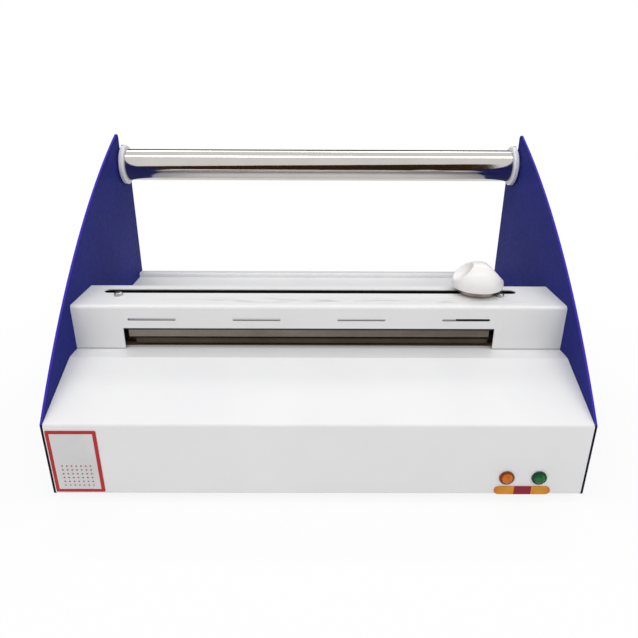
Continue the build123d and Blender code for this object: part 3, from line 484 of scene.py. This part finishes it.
# Faceted lamp lenses with a sloping rim
for word, (lens_look, rim_shaded_look) in LAMP_LOOKS.items():
    assign(rim_shaded_look, "lamp_bezel_" + word)
    low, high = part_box("lamp_lens_" + word)
    radius = (high.x - low.x) / 2
    rise = high.y - low.y
    rings = [(radius, 0.0, False), (radius * 0.97, rise * 0.35, False), (radius * 0.62, rise, False)]
    lens = turned("lamp_facets_" + word, rings, ((low.x + high.x) / 2, high.y, (low.z + high.z) / 2),
                  (0, -1, 0), lens_look, "housing", segments=10, smooth=False)
    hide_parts("lamp_lens_" + word)


def stage_plane(name, corners, material):
    mesh = bpy.data.meshes.new(name)
    mesh.from_pydata(corners, [], [(0, 1, 2, 3)])
    mesh.materials.append(material)
    plane = bpy.data.objects.new(name, mesh)
    bpy.context.scene.collection.objects.link(plane)
    return plane


def floor_material():
    """Pale floor: white to the camera, and shaded near the object so that its shadow stays."""
    n = Nodes("pale_floor")
    n.shader.inputs["Base Color"].default_value = (0.86, 0.86, 0.86, 1.0)
    n.shader.inputs["Roughness"].default_value = 0.9
    light = n.add("ShaderNodeEmission")
    rays = n.add("ShaderNodeLightPath")
    seen = n.maths("MAXIMUM", rays.outputs["Is Camera Ray"], rays.outputs["Is Glossy Ray"])
    seen = n.maths("MAXIMUM", seen, rays.outputs["Is Transmission Ray"])
    length = n.add("ShaderNodeVectorMath", operation="LENGTH")
    n.link(n.place, length.inputs[0])
    away = n.spread(length.outputs["Value"], 1.0 - SHADOW_SHARE, 1.0, *SHADOW_REACH)
    mix = n.add("ShaderNodeMixShader")
    n.link(n.maths("MULTIPLY", seen, away), mix.inputs["Fac"])
    n.link(n.shader.outputs["BSDF"], mix.inputs[1])
    n.link(light.outputs["Emission"], mix.inputs[2])
    n.link(mix.outputs["Shader"], n.out.inputs["Surface"])
    return n.material


half = FLOOR_SIZE / 2
stage_plane("floor", [(-half, -half, 0), (half, -half, 0), (half, half, 0), (-half, half, 0)], floor_material())

# White surroundings, which light the object more softly than they show
world = bpy.data.worlds.new("studio")
bpy.context.scene.world = world
world.use_nodes = True
tree = world.node_tree
tree.nodes.clear()
rays = tree.nodes.new("ShaderNodeLightPath")
shown = tree.nodes.new("ShaderNodeBackground")
shown.inputs["Strength"].default_value = 1.0
shown.inputs["Color"].default_value = (1, 1, 1, 1)
glow = tree.nodes.new("ShaderNodeBackground")
glow.inputs["Strength"].default_value = AMBIENT
glow.inputs["Color"].default_value = (1, 1, 1, 1)
either = tree.nodes.new("ShaderNodeMath")
either.operation = "MAXIMUM"
tree.links.new(rays.outputs["Is Camera Ray"], either.inputs[0])
tree.links.new(rays.outputs["Is Glossy Ray"], either.inputs[1])
mix = tree.nodes.new("ShaderNodeMixShader")
tree.links.new(either.outputs["Value"], mix.inputs["Fac"])
tree.links.new(glow.outputs["Background"], mix.inputs[1])
tree.links.new(shown.outputs["Background"], mix.inputs[2])
output = tree.nodes.new("ShaderNodeOutputWorld")
tree.links.new(mix.outputs["Shader"], output.inputs["Surface"])


def strip_lamp(name, place, size, power):
    """Long soft lamp over the object, turned to it."""
    lamp = bpy.data.lights.new(name, "AREA")
    lamp.shape = "RECTANGLE"
    lamp.size, lamp.size_y = size
    lamp.energy = power
    holder = bpy.data.objects.new(name, lamp)
    bpy.context.scene.collection.objects.link(holder)
    holder.location = place
    aim = Vector((0, 0, 0.1)) - Vector(place)
    holder.rotation_euler = aim.to_track_quat("-Z", "Y").to_euler()
    holder.visible_camera = False
    return holder


strip_lamp("top_lamp", TOP_LAMP_PLACE, TOP_LAMP_SIZE, TOP_LAMP_POWER)
strip_lamp("rear_lamp", REAR_LAMP_PLACE, REAR_LAMP_SIZE, REAR_LAMP_POWER)
fill = strip_lamp("fill_lamp", FILL_LAMP_PLACE, FILL_LAMP_SIZE, FILL_LAMP_POWER)
fill.visible_glossy = False


def reflected_card(name, corners, colour):
    """Part of the room that only gloss shows: it takes no light and casts no shadow."""
    material = bpy.data.materials.new(name)
    material.use_nodes = True
    shade = material.node_tree
    glow = shade.nodes.new("ShaderNodeEmission")
    glow.inputs["Color"].default_value = (*colour, 1.0)
    shade.links.new(glow.outputs["Emission"], shade.nodes["Material Output"].inputs["Surface"])
    card = stage_plane(name, corners, material)
    card.visible_camera = False
    card.visible_diffuse = False
    card.visible_shadow = False
    return card


reflected_card("front_shape", [(x, FRONT_SHAPE_Y, z) for x, z in FRONT_SHAPE], FRONT_SHAPE_COLOUR)
wall_half, wall_top = BACK_WALL_SIZE[0] / 2, BACK_WALL_SIZE[1]
reflected_card("back_wall", [(-wall_half, BACK_WALL_Y, 0), (wall_half, BACK_WALL_Y, 0),
                             (wall_half, BACK_WALL_Y, wall_top), (-wall_half, BACK_WALL_Y, wall_top)],
               BACK_WALL_COLOUR)

camera_data = bpy.data.cameras.new("camera")
camera_data.lens = CAMERA_LENS
camera_data.sensor_width = 36.0
camera = bpy.data.objects.new("camera", camera_data)
bpy.context.scene.collection.objects.link(camera)
camera.matrix_world = (
    Matrix.Translation(CAMERA_PLACE)
    @ Matrix.Rotation(CAMERA_YAW, 4, "Z")
    @ Matrix.Rotation(CAMERA_TILT, 4, "X")
    @ Matrix.Rotation(CAMERA_ROLL, 4, "Z")
)
bpy.context.scene.camera = camera
bpy.context.scene.view_settings.view_transform = "Standard"
